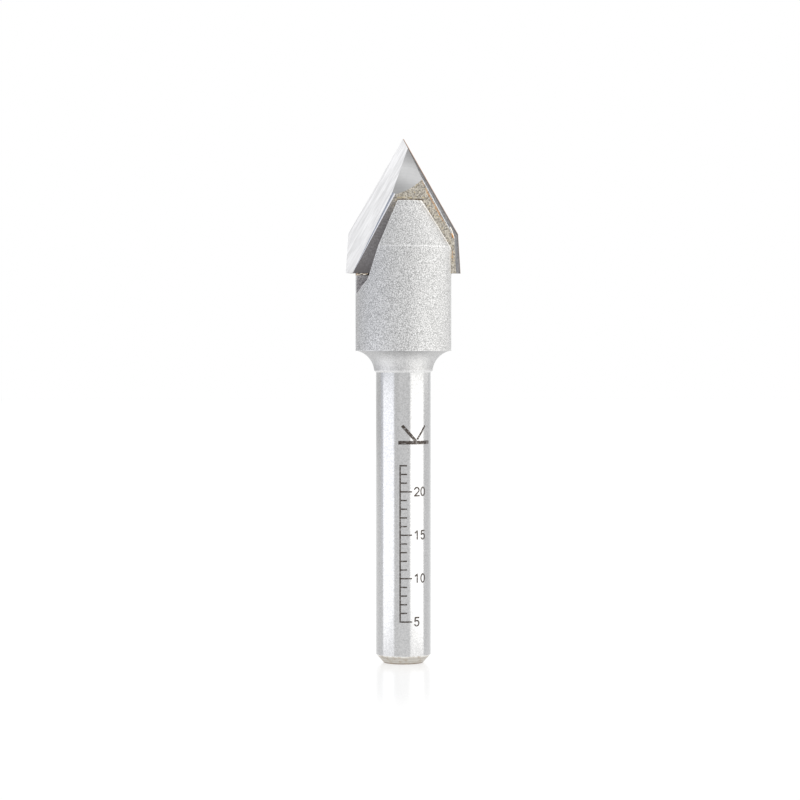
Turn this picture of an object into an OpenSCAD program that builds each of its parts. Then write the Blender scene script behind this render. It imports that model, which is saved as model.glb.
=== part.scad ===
// Two-flute 60 degree V groove router bit, in millimetres.
// One carbide plate is brazed into a slot across the head of a turned steel body.
// The axis is Z: the shank end lies on z = 0 and the point is at the top.
// The front cutting edge is on the -X side and its ground face looks towards -Y.
// The back cutting edge is the same, turned half a turn about the axis.

/* [Shank] */
// Diameter of the ground shank
shank_d = 6.35; // [5:0.05:8]
// Height of the ground shank above its end
shank_l = 33.7; // [20:0.1:45]
// Radial width of the chamfer at the shank end
end_chamfer_r = 0.9; // [0.2:0.05:1.5]
// Height of the chamfer at the shank end
end_chamfer_h = 1.0; // [0.2:0.05:3]

/* [Neck] */
// Radial step from the ground shank up to the narrowest part of the cove
neck_step = 0.2; // [0.05:0.05:0.5]
// Height of the ground taper from the shank to the cove
taper_h = 0.2; // [0.1:0.05:1]
// Radius of the cove under the head
cove_r = 2.6; // [2.4:0.05:4]
// Height of the cove
cove_h = 2.3; // [1.8:0.05:2.5]
// Width of the flat ring between the cove and the edge of the head
lip_w = 0.2; // [0.1:0.05:1]

/* [Head] */
// Diameter of the head
head_d = 11.1; // [10:0.1:12]
// Length of the cylindrical part of the head
head_l = 12; // [10:0.1:20]
// Length of the conical nose of the head
nose_l = 5.35; // [3:0.05:6]
// Included angle of the conical nose
nose_angle = 61; // [40:1:70]

/* [Slot and braze] */
// Depth of the slot below the top of the nose
slot_depth = 8.65; // [6:0.05:12]
// Thickness of the braze on each face of the plate
braze_t = 0.1; // [0.05:0.01:0.3]
// Thickness of the braze under the plate
seat_braze_t = 0.3; // [0.1:0.05:0.6]

/* [Gullets] */
// Distance from the axis to the gullet floor
gullet_floor = 0.7; // [0.3:0.05:0.9]
// Distance of the gullet wall past the axis at the top of the nose
gullet_top_x = 0.33; // [0:0.01:1.2]
// Angle of the gullet wall to the axis
gullet_angle = 19.3; // [15:0.1:30]
// Turn of the gullet wall about the axis, away from square to its floor
gullet_skew = 10; // [0:1:20]
// Length of the gullet wall along the axis, from the top of the nose to its bend
gullet_l = 9.1; // [8:0.1:12]
// Angle of the gullet run-out to the axis
runout_angle = 45; // [32:0.5:60]
// Radius at the bend between the gullet wall and its run-out
bend_r = 1.5; // [0.5:0.1:4]

/* [Carbide plate] */
// Thickness of the plate
plate_t = 2.0; // [1.8:0.05:2.6]
// Width across the cutting edges at the shoulders
cut_w = 12.8; // [12:0.1:16]
// Included angle of the cutting edges
point_angle = 60; // [55:1:75]
// Width across the cutting edges at the heel of the plate
heel_w = 13.4; // [12.5:0.1:17]
// Height of the sides, from the heel to the shoulders
side_h = 4.55; // [3:0.05:6]
// Relief angle behind the edges of the point, seen along the axis
relief_angle = 25; // [8:1:28]
// Relief angle behind the side edges, seen along the axis
side_relief_angle = 18; // [8:1:22]

/* [Grinding] */
// Thickness of the web between the two ground faces at the point
tip_web = 0.24; // [0.1:0.02:0.5]
// Tilt of each ground face from the axis
rake_tilt = 3.1; // [2:0.1:3.1]
// Width of the ground band at the inner corner of the gash
band_w = 2.33; // [1.6:0.05:2.8]
// Angle of the inner border of the ground band to the axis
band_angle = 26.2; // [24:0.2:30]
// Lean of the small step beside the ground band
step_lean = 38; // [10:1:50]
// Length of the gash, from the point down to its inner corner
gash_l = 6.3; // [5.2:0.1:6.6]
// Angle of the foot of the gash wall to the axis
gash_foot_angle = 19.4; // [17:0.2:23]
// Rise of the gash wall from the ground face
gash_rise = 11; // [9:0.5:20]
// Radius of the lower end of the gash
gash_end_r = 6.5; // [5:0.5:12]
// Slope of the lower end of the gash at its lowest corner
gash_end_angle = 13.5; // [8:0.5:25]
// Distance between the inner and the lowest corner of the gash, across the bit
gash_corner_w = 0.37; // [0.1:0.01:0.8]
// Slope from the inner down to the lowest corner of the gash
gash_corner_angle = 36; // [20:1:50]

/* [Hidden] */

fine = 96;
cut_depth = 6;
margin = 1;

shank_r = shank_d / 2;
head_r = head_d / 2;
lip_r = head_r - lip_w;
neck_r = shank_r + neck_step;
neck_low = shank_l + taper_h;
head_low = neck_low + cove_h;
nose_low = head_low + head_l;
head_top = nose_low + nose_l;
nose_r = head_r - nose_l * tan(nose_angle / 2);

cove_x = neck_r + cove_r;
cove_z = head_low - sqrt(cove_r * cove_r - (cove_x - lip_r) * (cove_x - lip_r));
cove_low_r = cove_x - sqrt(cove_r * cove_r - (cove_z - neck_low) * (cove_z - neck_low));

slot_w = plate_t + 2 * braze_t;
slot_low = head_top - slot_depth;
plate_low = slot_low + seat_braze_t;
shoulder_z = plate_low + side_h;
edge_slope = tan(point_angle / 2);
tip_z = shoulder_z + cut_w / 2 / edge_slope;
reach = tip_z;

rake_slope = tan(rake_tilt);
relief_slope = tan(relief_angle);
side_relief_slope = tan(side_relief_angle);
side_slope = (heel_w - cut_w) / 2 / side_h;
gash_low_x = band_w - gash_l * edge_slope;

// Distance of a ground face from the axis at the height z
function rake_y(z) = tip_web / 2 + rake_slope * (tip_z - z);

// Points of an arc in the plane of a 2D outline
function arc(centre, r, from, to, steps) =
    [for (i = [0 : steps]) centre + r * [cos(from + (to - from) * i / steps), sin(from + (to - from) * i / steps)]];

// All points on the inner side of a plane through a point, with the given outward normal
module inside_plane(point, normal) {
    translate(point)
        rotate([0, acos(normal.z / norm(normal)), atan2(normal.y, normal.x)])
            translate([-reach, -reach, -2 * reach])
                cube(2 * reach);
}

// The same shape on both sides of the bit, half a turn apart
module both_sides() {
    for (turn = [0, 180])
        rotate([0, 0, turn])
            children();
}

// Turned outline of the whole steel body, with a round cove under the head
module turned_blank() {
    rotate_extrude($fn = fine)
        difference() {
            polygon([
                [0, 0],
                [shank_r - end_chamfer_r, 0],
                [shank_r, end_chamfer_h],
                [shank_r, shank_l],
                [cove_low_r, neck_low],
                [lip_r, neck_low],
                [lip_r, head_low],
                [head_r, head_low],
                [head_r, nose_low],
                [nose_r, head_top],
                [0, head_top]
            ]);
            intersection() {
                translate([cove_x, cove_z])
                    circle(r = cove_r, $fn = fine);
                square([head_d, head_low]);
            }
        }
}

// Slot across the head that takes the plate
module slot() {
    translate([-head_d, -slot_w / 2, slot_low])
        cube([2 * head_d, slot_w, reach]);
}

// Side view of the space in front of a ground face: a sloping wall, a rounded bend and a run-out
module gullet_outline() {
    bend_z = head_top - gullet_l;
    bend_x = -gullet_top_x - gullet_l * tan(gullet_angle);
    tangent = bend_r * tan((runout_angle - gullet_angle) / 2);
    wall_end = [bend_x, bend_z] + tangent * [sin(gullet_angle), cos(gullet_angle)];
    bend_centre = wall_end + bend_r * [-cos(gullet_angle), sin(gullet_angle)];
    end_x = -head_r - margin;
    end_z = bend_z - (bend_x - end_x) / tan(runout_angle);
    top_x = -gullet_top_x + margin * tan(gullet_angle);
    polygon(concat(
        [[end_x, head_top + margin], [top_x, head_top + margin]],
        arc(bend_centre, bend_r, -gullet_angle, -runout_angle, 5),
        [[end_x, end_z]]
    ));
}

// Space in front of the front ground face, down to a floor that is parallel to the plate
module gullet() {
    intersection() {
        rotate([90, 0, -gullet_skew])
            linear_extrude(2 * head_d, center = true)
                gullet_outline();
        translate([-reach, -gullet_floor - reach, 0])
            cube([2 * reach, reach, 2 * reach]);
    }
}

module body() {
    color([0.80, 0.80, 0.79])
        difference() {
            turned_blank();
            slot();
            both_sides() gullet();
        }
}

// Plate with its flanks ground to the relief angles: the back cutting edge is on the +X side
module relieved_blank() {
    edge_top = [0, tip_web / 2, tip_z];
    shoulder = [cut_w / 2, rake_y(shoulder_z), shoulder_z];
    point_flank = [1, -relief_slope, edge_slope - relief_slope * rake_slope];
    side_flank = [1, -side_relief_slope, side_slope - side_relief_slope * rake_slope];
    intersection() {
        translate([-reach / 2, -plate_t / 2, plate_low])
            cube([reach, plate_t, reach]);
        inside_plane(edge_top, point_flank);
        inside_plane(shoulder, side_flank);
        rotate([0, 0, 180]) inside_plane(edge_top, point_flank);
        rotate([0, 0, 180]) inside_plane(shoulder, side_flank);
    }
}

// What the wheel takes off beside the cutting edge, seen from the inner corner of the gash
module band_space() {
    rotate([0, band_angle, 0])
        translate([0, 0, -reach])
            linear_extrude(reach)
                polygon([
                    [0, 0],
                    [-reach, 0],
                    [-reach, -cut_depth],
                    [cut_depth * tan(step_lean), -cut_depth]
                ]);
}

// What the wheel takes off above the band, outside the foot of the gash wall
module point_space() {
    rotate([0, gash_foot_angle, 0])
        linear_extrude(reach)
            polygon([[0, 0], [-reach, 0], [-reach, -cut_depth], [0, -cut_depth]]);
}

// What the wheel takes off in the gash: a rising wall with a round lower end and a bevelled corner
module gash_space() {
    corner = [gash_corner_w, 0, -gash_corner_w * tan(gash_corner_angle)];
    end_centre = corner + gash_end_r * [-sin(gash_end_angle), 0, cos(gash_end_angle)];
    intersection() {
        rotate([0, gash_foot_angle, 0])
            translate([0, 0, -reach])
                linear_extrude(2 * reach)
                    polygon([
                        [0, 0],
                        [-reach, 0],
                        [-reach, -cut_depth],
                        [cut_depth / tan(gash_rise), -cut_depth]
                    ]);
        rotate([0, gash_corner_angle, 0])
            translate([-reach, -reach, 0])
                cube(2 * reach);
        translate(end_centre)
            rotate([90, 0, 0])
                cylinder(r = gash_end_r, h = 2 * reach, center = true, $fn = fine);
    }
}

// All that is ground off in front of the front cutting edge, drawn in the plane of its ground face
module ground_space() {
    translate([0, -tip_web / 2, tip_z])
        rotate([-rake_tilt, 0, 0])
            translate([gash_low_x, 0, -gash_l]) {
                band_space();
                point_space();
                gash_space();
            }
}

module cutter_plate() {
    color([0.42, 0.42, 0.43])
        difference() {
            relieved_blank();
            both_sides() ground_space();
        }
}

// Filler between the plate and its slot, on both faces and under the heel
module braze_joint() {
    color([0.72, 0.58, 0.38])
        difference() {
            intersection() {
                turned_blank();
                slot();
            }
            relieved_blank();
            both_sides() gullet();
        }
}

body();
cutter_plate();
braze_joint();
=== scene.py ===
"""Looks of a V groove router bit: ground, blasted and brazed finishes, laser marks, studio and camera.

Lengths in the named values are in millimetres, and Blender's objects are in metres.
"""
import math
import random

import bpy
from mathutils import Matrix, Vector


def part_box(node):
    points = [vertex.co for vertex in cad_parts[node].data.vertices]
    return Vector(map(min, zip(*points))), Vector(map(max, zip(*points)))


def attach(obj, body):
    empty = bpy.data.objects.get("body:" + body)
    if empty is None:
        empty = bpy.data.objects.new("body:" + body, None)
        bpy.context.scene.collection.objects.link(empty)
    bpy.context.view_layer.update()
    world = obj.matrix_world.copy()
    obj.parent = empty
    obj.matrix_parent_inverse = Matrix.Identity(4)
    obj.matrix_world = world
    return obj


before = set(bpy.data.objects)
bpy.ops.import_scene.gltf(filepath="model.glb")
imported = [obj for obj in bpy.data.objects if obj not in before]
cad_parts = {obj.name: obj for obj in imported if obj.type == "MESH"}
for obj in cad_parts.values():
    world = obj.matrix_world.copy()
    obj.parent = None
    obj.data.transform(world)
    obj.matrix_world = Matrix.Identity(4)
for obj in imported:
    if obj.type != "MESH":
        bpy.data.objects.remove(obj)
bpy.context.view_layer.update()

MM = 0.001

# Sizes of the bit, as its solids have them
SHANK_R = 3.175
END_CHAMFER_H = 1.0
GROUND_TOP = 33.7
HEAD_LOW = 36.2
HEAD_R = 5.55
NOSE_LOW = 48.2
NOSE_ANGLE = 61
HEAD_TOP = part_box("body")[1].z / MM
PLATE_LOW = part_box("cutter_plate")[0].z / MM
APEX_Z = 60.835
PLATE_T = 2.0
SLOT_W = 2.2
TIP_WEB = 0.24
RAKE_TILT = 3.1
POINT_ANGLE = 60
RELIEF_ANGLE = 25
SHOULDER_Z = 49.75

# Border of the point flank on the sintered face: its place at the height of the apex, and its growth downwards
FLANK_BORDER_X = -0.522
FLANK_BORDER_SLOPE = 0.552
SIDE_BORDER_X = 5.84

# View: the bit is turned a little, so that its front cutting edge comes nearer to the camera
VIEW_TURN = -2.3
VIEW_DISTANCE = 290
EYE_HEIGHT = 36.3
IMAGE_SIDE = 800
FOCAL_PIXELS = 2498
AXIS_PIXEL_X = 403.4
HORIZON_PIXEL_Y = 350
SENSOR = 36


def view_point(across, beyond, height):
    """A point in metres, from its place across the view, beyond the axis and above the floor."""
    turn = math.radians(VIEW_TURN)
    x = across * math.cos(turn) - beyond * math.sin(turn)
    y = across * math.sin(turn) + beyond * math.cos(turn)
    return Vector((x, y, height)) * MM


def make_camera():
    data = bpy.data.cameras.new("camera")
    data.sensor_width = SENSOR
    data.lens = FOCAL_PIXELS / IMAGE_SIDE * SENSOR
    data.clip_start = 10 * MM
    data.clip_end = 20
    camera = bpy.data.objects.new("camera", data)
    bpy.context.scene.collection.objects.link(camera)
    camera.location = view_point(0, -VIEW_DISTANCE, EYE_HEIGHT)
    pan = math.atan((AXIS_PIXEL_X - IMAGE_SIDE / 2) / FOCAL_PIXELS)
    pitch = math.atan((IMAGE_SIDE / 2 - HORIZON_PIXEL_Y) / FOCAL_PIXELS)
    camera.rotation_euler = (math.radians(90) - pitch, 0, math.radians(VIEW_TURN) + pan)
    bpy.context.scene.camera = camera


class Tree:
    """A short way to write a node tree: inputs are values or other nodes' sockets."""

    def __init__(self, owner):
        owner.use_nodes = True
        self.tree = owner.node_tree
        self.tree.nodes.clear()

    def add(self, kind, inputs=None, **settings):
        node = self.tree.nodes.new(kind)
        for key, value in settings.items():
            setattr(node, key, value)
        for key, value in (inputs or {}).items():
            if isinstance(value, bpy.types.NodeSocket):
                self.tree.links.new(value, node.inputs[key])
            else:
                node.inputs[key].default_value = value
        return node

    def math(self, operation, a, b=0.0, clamp=False):
        return self.add("ShaderNodeMath", {0: a, 1: b}, operation=operation, use_clamp=clamp).outputs[0]

    def step(self, value, low, high):
        """0 below low and 1 above high, smooth between."""
        inputs = {"Value": value, "From Min": low, "From Max": high}
        return self.add("ShaderNodeMapRange", inputs, interpolation_type="SMOOTHSTEP").outputs[0]

    def scale(self, value, low, high):
        """0 to 1 turned into low to high."""
        return self.add("ShaderNodeMapRange", {"Value": value, "To Min": low, "To Max": high}).outputs[0]

    def mix(self, factor, a, b, blend="MIX"):
        node = self.add("ShaderNodeMix", {0: factor, 6: a, 7: b}, data_type="RGBA", blend_type=blend)
        return node.outputs[2]

    def window(self, value, low, high, soft):
        """1 from low to high and 0 outside, with soft borders."""
        rise = self.step(value, low - soft, low + soft)
        fall = self.step(value, high - soft, high + soft)
        return self.math("SUBTRACT", rise, fall, clamp=True)

    def both(self, a, b):
        return self.math("MULTIPLY", a, b)

    def place(self):
        """The point in millimetres, and its three coordinates."""
        coords = self.add("ShaderNodeTexCoord").outputs["Object"]
        point = self.add("ShaderNodeVectorMath", {0: coords, "Scale": 1 / MM}, operation="SCALE").outputs[0]
        split = self.add("ShaderNodeSeparateXYZ", {0: point})
        return point, split.outputs[0], split.outputs[1], split.outputs[2]

    def join(self, x, y, z):
        return self.add("ShaderNodeCombineXYZ", {0: x, 1: y, 2: z}).outputs[0]

    def turned(self, point):
        """The same place turned askew, so that the rows of a fine noise don't line up with the faces."""
        return self.add("ShaderNodeMapping", {"Vector": point, "Rotation": (0.6, 0.5, 0.4)}).outputs[0]

    def noise(self, vector, scale, detail=2.0, roughness=0.5):
        inputs = {"Vector": vector, "Scale": scale, "Detail": detail, "Roughness": roughness}
        return self.add("ShaderNodeTexNoise", inputs).outputs[0]

    def bump(self, height, depth, normal=None):
        """Bump of a depth in millimetres."""
        inputs = {"Height": height, "Distance": depth * MM, "Strength": 1.0}
        if normal is not None:
            inputs["Normal"] = normal
        return self.add("ShaderNodeBump", inputs).outputs[0]

    def grey(self, value, tint=(1.0, 1.0, 1.0)):
        parts = [self.math("MULTIPLY", value, t) for t in tint]
        return self.add("ShaderNodeCombineColor", {0: parts[0], 1: parts[1], 2: parts[2]}).outputs[0]

    def metal(self, inputs):
        shader = self.add("ShaderNodeBsdfPrincipled", inputs)
        self.add("ShaderNodeOutputMaterial", {0: shader.outputs[0]})
        return shader


def new_material(name):
    material = bpy.data.materials.new(name)
    return material, Tree(material)


def ground_shank_material():
    """Cylindrically ground steel: fine rings, so that highlights stay narrow across and long up and down."""
    material, t = new_material("ground_shank")
    point, x, y, z = t.place()
    rings = t.noise(t.join(t.both(x, 0.15), t.both(y, 0.15), z), 16.0, 3.0, 0.65)
    clouds = t.noise(point, 2.2, 3.0, 0.6)
    grain = t.noise(point, 5.0, 2.0, 0.6)
    base = t.math("ADD", t.scale(rings, 0.46, 0.52), t.scale(clouds, -0.03, 0.03))
    base = t.math("ADD", base, t.scale(t.step(grain, 0.36, 0.64), -0.045, 0.045))
    base = t.math("ADD", base, t.both(t.step(z, 27.0, 16.0), 0.028))
    t.metal({
        "Base Color": t.grey(base, (0.995, 0.995, 1.0)),
        "Metallic": 1.0,
        "Roughness": t.scale(clouds, 0.18, 0.26),
        "Anisotropic": 0.8,
        "Anisotropic Rotation": 0.25,
        "Tangent": t.add("ShaderNodeTangent", direction_type="RADIAL", axis="Z").outputs[0],
        "Normal": t.bump(rings, 0.002),
    })
    return material


def shank_end_material():
    """Turned chamfer and end face, duller and browner than the ground shank, with a painted highlight along the top of
    the chamfer.
    """
    material, t = new_material("turned_shank_end")
    point, x, y, z = t.place()
    radius = t.math("SQRT", t.math("ADD", t.math("MULTIPLY", x, x), t.math("MULTIPLY", y, y)))
    rings = t.noise(t.join(radius, 0.0, z), 9.0, 4.0, 0.7)
    stain = t.noise(point, 1.7, 4.0, 0.65)
    chamfer_tone = t.mix(t.step(rings, 0.32, 0.68), (0.44, 0.415, 0.38, 1), (0.70, 0.675, 0.62, 1))
    # Painted highlight: near white along the top of the chamfer. Darker brown along its bottom edge.
    chamfer_tone = t.mix(t.step(z, 0.86, 0.97), chamfer_tone, (0.95, 0.94, 0.92, 1))
    chamfer_tone = t.mix(t.step(z, 0.16, 0.05), chamfer_tone, (0.26, 0.20, 0.15, 1))
    t.metal({
        "Base Color": t.mix(t.step(stain, 0.45, 0.75), chamfer_tone, (0.40, 0.33, 0.25, 1)),
        "Metallic": 1.0,
        "Roughness": t.scale(stain, 0.38, 0.55),
        "Normal": t.bump(rings, 0.006),
    })
    return material


def worn_edges(t, radius):
    """1 along the arrises of a solid, within a radius in millimetres, and 0 on its faces: the mask of the painted edge
    highlights.
    """
    rounded = t.add("ShaderNodeBevel", {0: radius * MM}, samples=6).outputs[0]
    flat = t.add("ShaderNodeNewGeometry").outputs["True Normal"]
    alike = t.add("ShaderNodeVectorMath", {0: rounded, 1: flat}, operation="DOT_PRODUCT").outputs["Value"]
    return t.step(t.math("SUBTRACT", 1.0, alike), 0.008, 0.075)


def blasted_material():
    """Grit-blasted steel of the neck and the head: bright and dark grains, and painted highlights along the arrises,
    the slot border, the taper ledge and the nose junction.
    """
    material, t = new_material("blasted_steel")
    point, x, y, z = t.place()
    turned = t.turned(point)
    grain = t.noise(turned, 9.2, 1.0, 0.5)
    fine = t.noise(turned, 13.0, 1.0, 0.5)
    glint = t.step(t.noise(point, 11.0), 0.62, 0.72)
    clouds = t.noise(point, 0.6, 2.0, 0.5)
    height = t.math("ADD", grain, t.both(fine, 0.9))
    base = t.math("ADD", t.scale(t.step(grain, 0.36, 0.62), 0.32, 0.65), t.scale(t.step(fine, 0.3, 0.7), -0.06, 0.07))
    base = t.math("ADD", base, t.both(glint, 0.34), clamp=True)
    cove = t.both(t.step(z, HEAD_LOW + 0.1, HEAD_LOW - 0.1), 0.5)
    base = t.math("ADD", base, t.both(cove, t.math("SUBTRACT", 0.58, base)))
    past = t.math("SUBTRACT", t.math("ABSOLUTE", y), SLOT_W / 2)
    reach = t.math("ADD", t.scale(t.step(z, HEAD_TOP, NOSE_LOW), 0.36, 0.54), t.scale(grain, -0.14, 0.14))
    # Painted highlight along the border of the plate slot, weaker below the nose.
    seat_highlight = t.step(t.math("SUBTRACT", past, reach), 0.16, 0.02)
    seat_highlight = t.both(seat_highlight, t.step(z, PLATE_LOW - 0.5, PLATE_LOW))
    seat_highlight = t.both(seat_highlight, t.scale(t.step(z, NOSE_LOW - 0.6, NOSE_LOW), 0.45, 1.0))
    # Painted highlight on the taper ledge at the top of the ground shank.
    ledge_highlight = t.both(t.window(z, GROUND_TOP, GROUND_TOP + 0.22, 0.03), 0.5)
    # Painted shade: a little darker on the lower part of the neck, in the cove under the head.
    base = t.math("SUBTRACT", base, t.both(t.window(z, GROUND_TOP, 34.7, 0.5), 0.05))
    # Painted highlights along the arrises and at the nose junction, weaker near the bottom of the head.
    bevel_highlight = t.both(worn_edges(t, 0.16), t.scale(t.step(z, HEAD_LOW + 0.2, HEAD_LOW + 0.8), 0.22, 0.75))
    junction_highlight = t.both(t.window(z, NOSE_LOW - 0.08, NOSE_LOW + 0.04, 0.06), t.scale(clouds, 0.03, 0.28))
    highlight_lines = t.math("MAXIMUM", t.math("MAXIMUM", bevel_highlight, junction_highlight), t.math("MAXIMUM", seat_highlight, ledge_highlight))
    t.metal({
        # The painted highlights mix the base colour towards white.
        "Base Color": t.mix(t.both(highlight_lines, t.scale(grain, 0.7, 1.2)), t.grey(base), (1.0, 1.0, 1.0, 1)),
        "Metallic": 1.0,
        "Roughness": t.scale(grain, 0.50, 0.60),
        "Normal": t.bump(height, 0.012),
    })
    return material


def milled_material():
    """Milled and unblasted steel in the gullets and the slot, dark and rough, with painted highlights on its arrises.
    """
    material, t = new_material("milled_gullet")
    point, x, y, z = t.place()
    lines = t.noise(t.join(x, t.both(y, 0.3), t.both(z, 5.0)), 3.0, 3.0, 0.6)
    specks = t.noise(point, 4.5, 3.0, 0.7)
    dark = t.mix(t.step(specks, 0.32, 0.68), (0.13, 0.125, 0.13, 1), (0.42, 0.41, 0.42, 1))
    t.metal({
        # Painted highlight: the arrises are mixed towards light grey.
        "Base Color": t.mix(worn_edges(t, 0.14), dark, (0.85, 0.85, 0.86, 1)),
        "Metallic": 1.0,
        "Roughness": t.scale(specks, 0.40, 0.60),
        "Normal": t.bump(t.math("ADD", lines, specks), 0.015),
    })
    return material


def ground_carbide_material():
    """Ground band beside each cutting edge, with wheel marks parallel to the edge."""
    material, t = new_material("ground_carbide")
    point, x, y, z = t.place()
    out = t.both(x, t.math("SIGN", y))
    half = math.radians(POINT_ANGLE / 2)
    along = t.math("ADD", t.both(out, -math.sin(half)), t.both(z, math.cos(half)))
    across = t.math("ADD", t.both(out, math.cos(half)), t.both(z, math.sin(half)))
    marks = t.noise(t.join(across, t.both(along, 0.05), 0.0), 4.6, 3.0, 0.65)
    fine = t.noise(t.join(across, t.both(along, 0.03), 3.0), 9.0, 2.0, 0.5)
    height = t.math("ADD", marks, t.both(fine, 0.4))
    base = t.math("ADD", t.scale(t.step(marks, 0.32, 0.68), 0.56, 0.73), t.scale(fine, -0.06, 0.06))
    t.metal({
        "Base Color": t.grey(base, (0.985, 0.985, 1.0)),
        "Metallic": 1.0,
        "Roughness": t.scale(fine, 0.28, 0.38),
        "Normal": t.bump(height, 0.003),
    })
    return material


def gash_material():
    """Smooth ground wall of the gash at the point, with faint arcs of the wheel."""
    material, t = new_material("ground_gash")
    point, x, y, z = t.place()
    arc_height = t.math("ADD", z, t.both(t.both(x, x), 0.12))
    arcs = t.noise(t.join(0.0, 0.0, arc_height), 3.6, 3.0, 0.6)
    cloud = t.noise(point, 1.2, 2.0, 0.5)
    across = t.both(t.both(x, t.math("SIGN", y)), -0.5)
    rise = t.math("ADD", z, across)
    shine = t.both(t.step(rise, 54.3, 57.0), t.step(rise, 59.6, 57.2))
    base = t.math("ADD", t.scale(shine, 0.33, 0.55), t.scale(arcs, -0.06, 0.06))
    t.metal({
        "Base Color": t.grey(t.math("ADD", base, t.scale(cloud, -0.04, 0.04))),
        "Metallic": 1.0,
        "Roughness": 0.42,
        "Normal": t.bump(arcs, 0.003),
    })
    return material


def step_material():
    """Small ground step beside the band: a blue-grey stripe of painted shade and then a white stripe of painted
    highlight.
    """
    material, t = new_material("ground_step")
    point, x, y, z = t.place()
    drop = t.math("SUBTRACT", APEX_Z, z)
    band_y = t.math("ADD", t.math("MULTIPLY", drop, math.tan(math.radians(RAKE_TILT))), TIP_WEB / 2)
    past = t.math("SUBTRACT", t.math("ABSOLUTE", y), band_y)
    share = t.math("DIVIDE", past, t.math("SUBTRACT", PLATE_T / 2, band_y))
    # Painted shade on the inner half of the step, painted highlight on the outer half.
    white = t.step(share, 0.50, 0.60)
    streaks = t.noise(point, 5.0, 3.0, 0.6)
    t.metal({
        "Base Color": t.mix(white, (0.42, 0.45, 0.51, 1), (1.0, 1.0, 1.0, 1)),
        "Metallic": 1.0,
        "Roughness": t.scale(streaks, 0.30, 0.42),
        "Normal": t.bump(streaks, 0.003),
    })
    return material


def gash_end_material():
    """Bright ground lower end of the gash."""
    material, t = new_material("ground_gash_end")
    point, x, y, z = t.place()
    streaks = t.noise(point, 4.0, 3.0, 0.6)
    t.metal({
        "Base Color": t.mix(streaks, (0.70, 0.74, 0.80, 1), (0.90, 0.92, 0.95, 1)),
        "Metallic": 1.0,
        "Roughness": 0.35,
        "Normal": t.bump(streaks, 0.002),
    })
    return material


def flank_material():
    """Ground flanks behind the cutting edges: heat-tinted at the edge, dark grey with a painted sheen, and a painted
    highlight along the inner border.
    """
    material, t = new_material("ground_flank")
    point, x, y, z = t.place()
    edge_y = t.math("ADD", t.both(t.math("SUBTRACT", APEX_Z, z), math.tan(math.radians(RAKE_TILT))), TIP_WEB / 2)
    behind = t.math("SUBTRACT", edge_y, t.both(y, t.math("SIGN", x)))
    rest = t.math("SUBTRACT", t.math("ADD", edge_y, PLATE_T / 2), behind)
    lines = t.noise(t.turned(t.join(t.both(x, 0.3), t.both(y, 4.0), t.both(z, 0.3))), 1.6, 3.0)
    specks = t.noise(t.turned(t.join(t.both(x, 1.2), t.both(y, 0.8), z)), 3.4, 2.0, 0.6)
    body = t.mix(t.step(t.math("ADD", t.both(lines, 0.45), t.both(specks, 0.55)), 0.40, 0.60),
                 (0.030, 0.029, 0.031, 1), (0.22, 0.21, 0.205, 1))
    sheen = t.mix(t.both(t.step(behind, 0.5, 1.2), 0.22), body, (0.30, 0.31, 0.34, 1))
    dark = t.mix(t.window(behind, 0.12, 0.42, 0.08), sheen, (0.045, 0.043, 0.048, 1))
    high = t.scale(t.step(t.math("ADD", z, t.both(specks, 3.0)), 50.5, 58.5), 0.45, 1.0)
    heat = t.both(high, t.step(behind, 0.26, 0.10))
    tinted = t.mix(t.both(heat, 0.85), dark, (0.50, 0.27, 0.14, 1))
    # Painted highlight along the inner border of the flank.
    border = t.both(t.step(rest, 0.18, 0.11), t.step(z, SHOULDER_Z - 2.6, SHOULDER_Z + 1.0))
    t.metal({
        "Base Color": t.mix(t.both(border, t.scale(specks, 0.6, 1.0)), tinted, (0.86, 0.91, 1.0, 1)),
        "Metallic": 1.0,
        "Roughness": t.scale(specks, 0.30, 0.44),
        "Normal": t.bump(lines, 0.003),
    })
    return material


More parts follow.
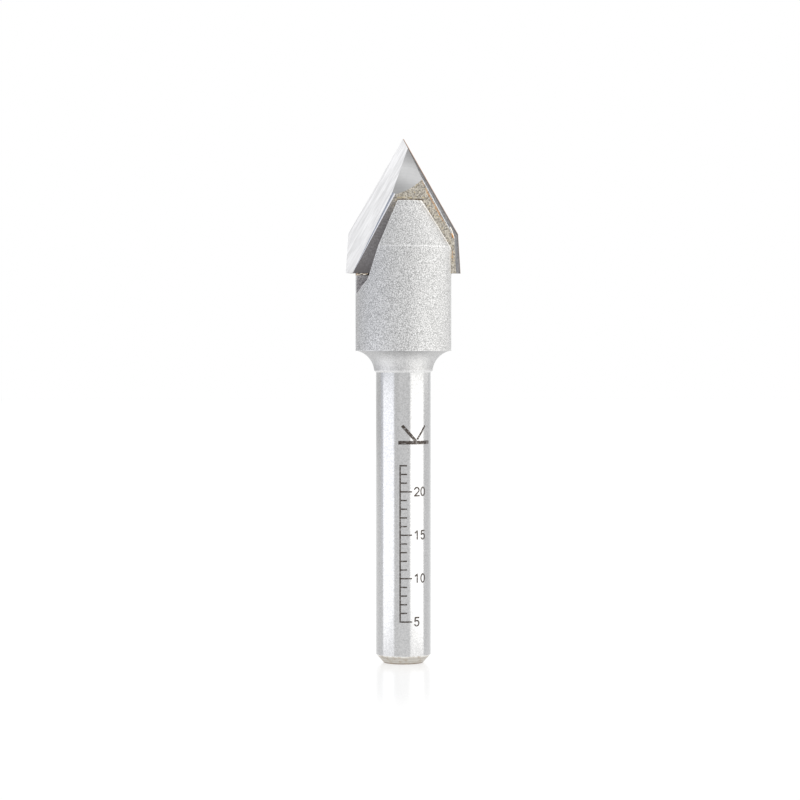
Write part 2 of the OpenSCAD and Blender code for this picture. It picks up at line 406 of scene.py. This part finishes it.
def sintered_material():
    """Carbide face as sintered: dark in the gullet, tan and speckled where blasted, with burnt braze at its borders."""
    material, t = new_material("sintered_carbide")
    point, x, y, z = t.place()
    out = t.both(t.both(x, t.math("SIGN", y)), -1.0)
    speck = t.noise(point, 4.8, 3.0, 0.7)
    cloud = t.noise(point, 1.5, 3.0, 0.6)
    smooth = t.mix(t.step(speck, 0.30, 0.70), (0.175, 0.165, 0.168, 1), (0.29, 0.28, 0.283, 1))
    smooth = t.mix(t.step(t.math("SUBTRACT", z, t.both(out, -0.6)), 45.0, 41.5), smooth, (0.15, 0.14, 0.14, 1))
    tan = t.mix(t.step(speck, 0.34, 0.66), (0.20, 0.18, 0.155, 1), (0.64, 0.60, 0.52, 1))
    yellow = t.step(t.noise(point, 3.2, 2.0), 0.58, 0.70)
    tan = t.mix(t.both(yellow, 0.5), tan, (0.62, 0.50, 0.26, 1))
    blasted = t.step(t.math("ADD", out, t.both(t.math("SUBTRACT", z, HEAD_TOP), 0.45)), -3.3, 0.2)
    face = t.mix(blasted, smooth, tan)
    drop = t.math("SUBTRACT", APEX_Z, z)
    border = t.math("ADD", t.both(drop, FLANK_BORDER_SLOPE), FLANK_BORDER_X)
    inside = t.math("SUBTRACT", t.math("MINIMUM", border, SIDE_BORDER_X), out)
    wander = t.math("ADD", inside, t.both(cloud, 0.20))
    trail = t.both(t.window(wander, 0.24, 0.33, 0.05), t.step(speck, 0.40, 0.58))
    trail = t.both(trail, t.math("MAXIMUM", t.window(z, 51.2, 55.8, 0.7), t.window(z, 46.6, 48.0, 0.3)))
    face = t.mix(t.both(trail, 0.9), face, (0.52, 0.26, 0.09, 1))
    burnt = t.both(t.window(z, HEAD_TOP - 0.1, HEAD_TOP + 0.24, 0.07), t.window(out, -0.8, 2.2, 0.2))
    burnt = t.both(burnt, t.step(t.noise(point, 3.0, 3.0), 0.36, 0.50))
    t.metal({
        "Base Color": t.mix(t.both(burnt, 0.85), face, (0.10, 0.075, 0.05, 1)),
        "Metallic": 0.6,
        "Roughness": t.scale(speck, 0.42, 0.60),
        "Normal": t.bump(t.both(speck, t.scale(blasted, 0.2, 1.0)), 0.010),
    })
    return material


def braze_material(name, low, high):
    """Brass-coloured brazing alloy: bare and bright in places, and burnt black past the given levels of burning."""
    material, t = new_material(name)
    point, x, y, z = t.place()
    patch = t.noise(point, 1.8, 3.0, 0.6)
    fine = t.noise(point, 5.0, 3.0, 0.65)
    bright = t.mix(t.step(fine, 0.34, 0.50), (0.46, 0.24, 0.09, 1), (0.98, 0.94, 0.85, 1))
    burnt = t.math("ADD", t.both(patch, 0.5), t.both(fine, 0.5))
    t.metal({
        "Base Color": t.mix(t.step(burnt, low, high), bright, (0.035, 0.028, 0.024, 1)),
        "Metallic": 1.0,
        "Roughness": t.scale(patch, 0.30, 0.60),
        "Normal": t.bump(fine, 0.03),
    })
    return material


def copper_braze_material():
    """Brazing alloy with little silver in it, orange and dull."""
    material, t = new_material("copper_braze")
    point, x, y, z = t.place()
    patch = t.noise(point, 5.0, 3.0, 0.6)
    t.metal({
        "Base Color": t.mix(t.step(patch, 0.40, 0.62), (0.50, 0.20, 0.055, 1), (0.74, 0.55, 0.36, 1)),
        "Metallic": 0.8,
        "Roughness": t.scale(patch, 0.35, 0.60),
        "Normal": t.bump(patch, 0.03),
    })
    return material


def laser_material():
    """Laser marks burnt into the shank: brown-black, hatched across by the beam."""
    material, t = new_material("laser_mark")
    point, x, y, z = t.place()
    hatch = t.noise(t.join(t.both(x, 0.4), t.both(y, 0.4), z), 9.0, 2.0, 0.5)
    burn = t.noise(point, 3.0, 3.0, 0.6)
    dark = t.mix(burn, (0.022, 0.018, 0.016, 1), (0.085, 0.070, 0.060, 1))
    t.metal({
        "Base Color": t.mix(t.both(t.step(hatch, 0.50, 0.66), 0.6), dark, (0.34, 0.33, 0.33, 1)),
        "Metallic": 0.8,
        "Roughness": t.scale(burn, 0.30, 0.45),
        "Normal": t.bump(hatch, 0.004),
    })
    return material


def assign_by_face(obj, materials, choose):
    """Gives each face of a CAD node the finish that its place and normal ask for."""
    obj.data.materials.clear()
    names = list(materials)
    for name in names:
        obj.data.materials.append(materials[name])
    for face in obj.data.polygons:
        face.material_index = names.index(choose(face.center / MM, face.normal))


def body_finish(centre, normal):
    radial = Vector((centre.x, centre.y, 0)).normalized()
    if centre.z < END_CHAMFER_H:
        return "shank_end"
    if centre.z < GROUND_TOP:
        return "shank"
    if centre.z < HEAD_LOW + 0.05:
        return "blasted"
    slope = math.radians(NOSE_ANGLE / 2) if centre.z > NOSE_LOW else 0
    outward = radial * math.cos(slope) + Vector((0, 0, math.sin(slope)))
    on_top = centre.z > HEAD_TOP - 0.01
    return "blasted" if on_top or normal.dot(outward) > 0.97 else "milled"


def plate_finish(centre, normal):
    across, depth = abs(normal.x), abs(normal.y)
    if normal.z < -0.9 or depth > 0.9999:
        return "sintered"
    if depth > 0.99 and across < 0.05:
        return "ground"
    if depth > 0.9:
        return "gash"
    if depth > 0.5:
        return "step"
    return "gash_end" if depth < 0.15 else "flank"


def finish_nodes():
    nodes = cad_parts
    assign_by_face(nodes["body"], {
        "shank_end": shank_end_material(),
        "shank": ground_shank_material(),
        "blasted": blasted_material(),
        "milled": milled_material(),
    }, body_finish)
    assign_by_face(nodes["cutter_plate"], {
        "ground": ground_carbide_material(),
        "gash": gash_material(),
        "gash_end": gash_end_material(),
        "step": step_material(),
        "flank": flank_material(),
        "sintered": sintered_material(),
    }, plate_finish)
    assign_by_face(nodes["braze_joint"], {"braze": braze_material("braze", 0.40, 0.50)}, lambda centre, normal: "braze")


# Laser marks: their lowest and highest place, their turn from the view, and the width of a line
MARK_TURN = 27.5
MARK_LINE_W = 0.17
MARK_PROUD = 0.004
DIGIT_H = 1.05
INSERTION_Z = 25.65


def bow(cx, cy, rx, ry, start, end, steps=10):
    """Points of a part of an ellipse, with its angles in degrees."""
    turns = [math.radians(start + (end - start) * i / steps) for i in range(steps + 1)]
    return [(cx + rx * math.cos(a), cy + ry * math.sin(a)) for a in turns]


DIGITS = {
    "0": [bow(0.33, 0.5, 0.28, 0.45, 0, 360, 18)],
    "1": [[(0.12, 0.75), (0.38, 0.95), (0.38, 0.05)]],
    "2": [bow(0.33, 0.68, 0.28, 0.27, 170, -30) + [(0.05, 0.05), (0.64, 0.05)]],
    "5": [[(0.60, 0.95), (0.14, 0.95), (0.10, 0.55)] + bow(0.32, 0.34, 0.28, 0.29, 135, -150)],
}


def add_stroke(verts, faces, start, end, width):
    """One straight stroke on the shank, as a grid of small faces that follow its roundness."""
    (s0, z0), (s1, z1) = start, end
    length = math.hypot(s1 - s0, z1 - z0)
    along = ((s1 - s0) / length, (z1 - z0) / length)
    s0, z0 = s0 - along[0] * width * 0.3, z0 - along[1] * width * 0.3
    length += width * 0.6
    columns = max(2, math.ceil(length / 0.14))
    rows = max(2, math.ceil(width / 0.14))
    first = len(verts)
    for i in range(columns + 1):
        for j in range(rows + 1):
            go = length * i / columns
            side = width * (j / rows - 0.5)
            s = s0 + along[0] * go - along[1] * side
            z = z0 + along[1] * go + along[0] * side
            angle = math.radians(MARK_TURN) + s / SHANK_R
            radius = SHANK_R + MARK_PROUD
            verts.append(view_point(radius * math.sin(angle), -radius * math.cos(angle), z))
    for i in range(columns):
        for j in range(rows):
            a = first + i * (rows + 1) + j
            faces.append((a, a + rows + 1, a + rows + 2, a + 1))


def make_mark(name, strokes, material):
    """A group of laser marks: each stroke is a list of points and a width."""
    verts, faces = [], []
    for points, width in strokes:
        for start, end in zip(points, points[1:]):
            add_stroke(verts, faces, start, end, width)
    mesh = bpy.data.meshes.new(name)
    mesh.from_pydata([tuple(v) for v in verts], [], faces)
    for face in mesh.polygons:
        face.use_smooth = True
    mesh.materials.append(material)
    mark = bpy.data.objects.new(name, mesh)
    bpy.context.scene.collection.objects.link(mark)
    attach(mark, "root")


def make_marks():
    """The mark for the least depth in the collet, and a plain depth scale below it."""
    laser = laser_material()
    bar = [([(-2.0, INSERTION_Z), (2.0, INSERTION_Z)], 0.42)]
    arms = [([(-1.60, INSERTION_Z + 1.88), (-0.10, INSERTION_Z + 0.24)], 0.36),
            ([(1.25, INSERTION_Z + 1.88), (0.18, INSERTION_Z + 0.42)], 0.24)]
    make_mark("insertion_mark", bar + arms, laser)
    scale = [([(-1.9, 5.0), (-1.9, 23.0)], MARK_LINE_W)]
    for z in range(5, 24):
        length = 1.35 if z % 5 == 0 else 0.75
        scale.append(([(-1.9, z), (-1.9 + length, z)], MARK_LINE_W))
    make_mark("depth_scale", scale, laser)
    digits = []
    for z in (5, 10, 15, 20):
        for place, digit in enumerate(str(z)):
            for line in DIGITS[digit]:
                shift = -0.25 + 0.86 * place
                points = [(shift + p * DIGIT_H, z + (q - 0.5) * DIGIT_H) for p, q in line]
                digits.append((points, MARK_LINE_W))
    make_mark("depth_numbers", digits, laser)


def add_bead(name, path, radius, seed, material):
    """A thin uneven run of brazing alloy along a path, half sunk into the face under it."""
    rough = random.Random(seed)
    verts, faces, ring = [], [], 8
    for i, point in enumerate(path):
        end = i in (0, len(path) - 1)
        size = radius * (0.25 if end else rough.uniform(0.7, 1.3))
        shift = Vector((rough.uniform(-0.25, 0.25) * radius, 0, rough.uniform(-0.25, 0.25) * radius))
        before, after = path[max(i - 1, 0)], path[min(i + 1, len(path) - 1)]
        along = (Vector(after) - Vector(before)).normalized()
        out = Vector((0, 1, 0))
        side = along.cross(out).normalized()
        for j in range(ring):
            turn = 2 * math.pi * j / ring
            verts.append((Vector(point) + shift + side * size * math.cos(turn) + out * size * 0.7 * math.sin(turn)) * MM)
    for i in range(len(path) - 1):
        for j in range(ring):
            a, b = i * ring + j, i * ring + (j + 1) % ring
            faces.append((a, b, b + ring, a + ring))
    faces.append(tuple(range(ring - 1, -1, -1)))
    faces.append(tuple((len(path) - 1) * ring + j for j in range(ring)))
    mesh = bpy.data.meshes.new(name)
    mesh.from_pydata([tuple(v) for v in verts], [], faces)
    for face in mesh.polygons:
        face.use_smooth = True
    mesh.materials.append(material)
    bead = bpy.data.objects.new(name, mesh)
    bpy.context.scene.collection.objects.link(bead)
    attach(bead, "root")


def make_beads():
    """Braze that ran out along the flank borders, at the shoulders and in the seam under the plate."""
    silver = braze_material("silver_braze", 0.62, 0.70)
    copper = copper_braze_material()
    for side, turn in (("front", 1), ("back", -1)):
        face_y = -PLATE_T / 2
        border = []
        for i in range(24):
            z = 54.8 - 0.16 * i
            border.append((FLANK_BORDER_X + FLANK_BORDER_SLOPE * (APEX_Z - z) - 0.26, face_y, z))
        curl = [(5.28, 50.6), (5.42, 50.42), (5.53, 50.22), (5.62, 49.98), (5.70, 49.72), (5.78, 49.44), (5.82, 49.2)]
        drop = [(5.50, 49.85), (5.57, 49.72), (5.63, 49.58), (5.69, 49.44), (5.74, 49.30), (5.77, 49.18)]
        seam = [(-5.38 + 0.10 * i, face_y, PLATE_LOW - 0.13 - 0.05 * math.sin(0.9 * i)) for i in range(14)]
        runs = (
            ("border_bead_", border, 0.035, copper),
            ("shoulder_curl_", [(x, face_y, z) for x, z in curl], 0.045, silver),
            ("shoulder_drop_", [(x, face_y, z) for x, z in drop], 0.085, copper),
            ("seam_bead_", seam, 0.06, silver),
        )
        for seed, (name, path, radius, material) in enumerate(runs):
            turned = [(x * turn, y * turn, z) for x, y, z in path]
            add_bead(name + side, turned, radius, 10 * seed + turn, material)


def make_world():
    """Even white surroundings: cameras, gloss and glass see plain white, and soft light is a little lower."""
    world = bpy.data.worlds.new("studio")
    bpy.context.scene.world = world
    t = Tree(world)
    path = t.add("ShaderNodeLightPath").outputs
    seen = t.math("ADD", path["Is Camera Ray"], path["Is Glossy Ray"], clamp=True)
    seen = t.math("ADD", seen, path["Is Transmission Ray"], clamp=True)
    background = t.add("ShaderNodeBackground", {0: (1, 1, 1, 1), 1: t.scale(seen, 0.65, 1.0)})
    t.add("ShaderNodeOutputWorld", {0: background.outputs[0]})
    world.cycles.sampling_method = "NONE"


def make_floor():
    """White glossy table: it shows the bit's soft shadow and a faint mirror image."""
    half = 1500 * MM
    mesh = bpy.data.meshes.new("floor")
    corners = [(-half, -half, 0), (half, -half, 0), (half, half, 0), (-half, half, 0)]
    mesh.from_pydata(corners, [], [(0, 1, 2, 3)])
    floor = bpy.data.objects.new("floor", mesh)
    bpy.context.scene.collection.objects.link(floor)
    material, t = new_material("white_table")
    path = t.add("ShaderNodeLightPath").outputs
    seen = t.math("ADD", path["Is Camera Ray"], path["Is Glossy Ray"], clamp=True)
    seen = t.math("ADD", seen, path["Is Transmission Ray"], clamp=True)
    matt = t.add("ShaderNodeBsdfDiffuse", {0: t.mix(seen, (0.8, 0.8, 0.8, 1), (0.10, 0.10, 0.10, 1))})
    glow = t.add("ShaderNodeEmission", {0: (1, 1, 1, 1), 1: t.both(seen, 0.95)})
    lit = t.add("ShaderNodeAddShader", {0: matt.outputs[0], 1: glow.outputs[0]})
    gloss = t.add("ShaderNodeBsdfGlossy", {"Color": (1, 1, 1, 1), "Roughness": 0.20})
    place = t.add("ShaderNodeTexCoord").outputs["Object"]
    away = t.add("ShaderNodeVectorMath", {0: place}, operation="LENGTH").outputs["Value"]
    polished = t.scale(t.step(away, 46 * MM, 22 * MM), 0.10, 0.60)
    mirror = t.both(t.add("ShaderNodeFresnel", {"IOR": 1.42}).outputs[0], polished)
    table = t.add("ShaderNodeMixShader", {0: mirror, 1: lit.outputs[0], 2: gloss.outputs[0]})
    t.add("ShaderNodeOutputMaterial", {0: table.outputs[0]})
    mesh.materials.append(material)


def aim(obj, place, target):
    obj.location = place
    obj.rotation_euler = (target - place).to_track_quat("-Z", "Y").to_euler()


def make_light(name, place, target, width, height, radiance, colour):
    """A flat soft light whose face has the given radiance."""
    data = bpy.data.lights.new(name, "AREA")
    data.shape = "RECTANGLE"
    data.size = width * MM
    data.size_y = height * MM
    data.energy = radiance * math.pi * data.size * data.size_y
    data.color = colour
    lamp = bpy.data.objects.new(name, data)
    bpy.context.scene.collection.objects.link(lamp)
    aim(lamp, place, target)
    lamp.visible_camera = False


def make_flag(name, place, target, width, height, grey):
    """A grey card that only shows as the darker rim in the metal."""
    mesh = bpy.data.meshes.new(name)
    w, h = width * MM / 2, height * MM / 2
    mesh.from_pydata([(-w, -h, 0), (w, -h, 0), (w, h, 0), (-w, h, 0)], [], [(0, 1, 2, 3)])
    flag = bpy.data.objects.new(name, mesh)
    bpy.context.scene.collection.objects.link(flag)
    material, t = new_material(name)
    glow = t.add("ShaderNodeEmission", {0: (grey, grey, grey, 1), 1: 1.0})
    t.add("ShaderNodeOutputMaterial", {0: glow.outputs[0]})
    mesh.materials.append(material)
    aim(flag, place, target)
    flag.visible_camera = False
    flag.visible_diffuse = False
    flag.visible_shadow = False


def make_studio():
    """Light strips beside the shank for its two bright bands, and soft cards for the head and the ground faces."""
    make_world()
    make_floor()
    make_light("left_strip", view_point(-20, -13, 15.5), view_point(0, -13, 15.5), 25, 35, 1.05, (0.975, 0.98, 1.0))
    make_light("right_strip", view_point(18, -17.5, 15.5), view_point(0, -17.5, 15.5), 33, 35, 1.2, (1.0, 0.99, 0.96))
    make_light("right_card", view_point(56, -25, 72), view_point(0, -25, 60), 140, 76, 1.0, (1.0, 0.985, 0.945))
    make_light("left_wash", view_point(-70, -20, 60), view_point(0, 0, 45), 110, 110, 0.09, (0.15, 0.35, 1.0))
    make_light("front_card", view_point(0, -330, 130), view_point(0, 0, 45), 240, 110, 0.6, (1.0, 1.0, 1.0))
    make_light("top_card", view_point(20, -90, 210), view_point(0, 0, 50), 180, 120, 0.45, (1.0, 1.0, 0.99))
    make_flag("left_flag", view_point(-64, 70, 28), view_point(0, 0, 28), 130, 14, 0.80)


bpy.context.scene.view_settings.view_transform = "Standard"
make_camera()
finish_nodes()
make_marks()
make_beads()
make_studio()
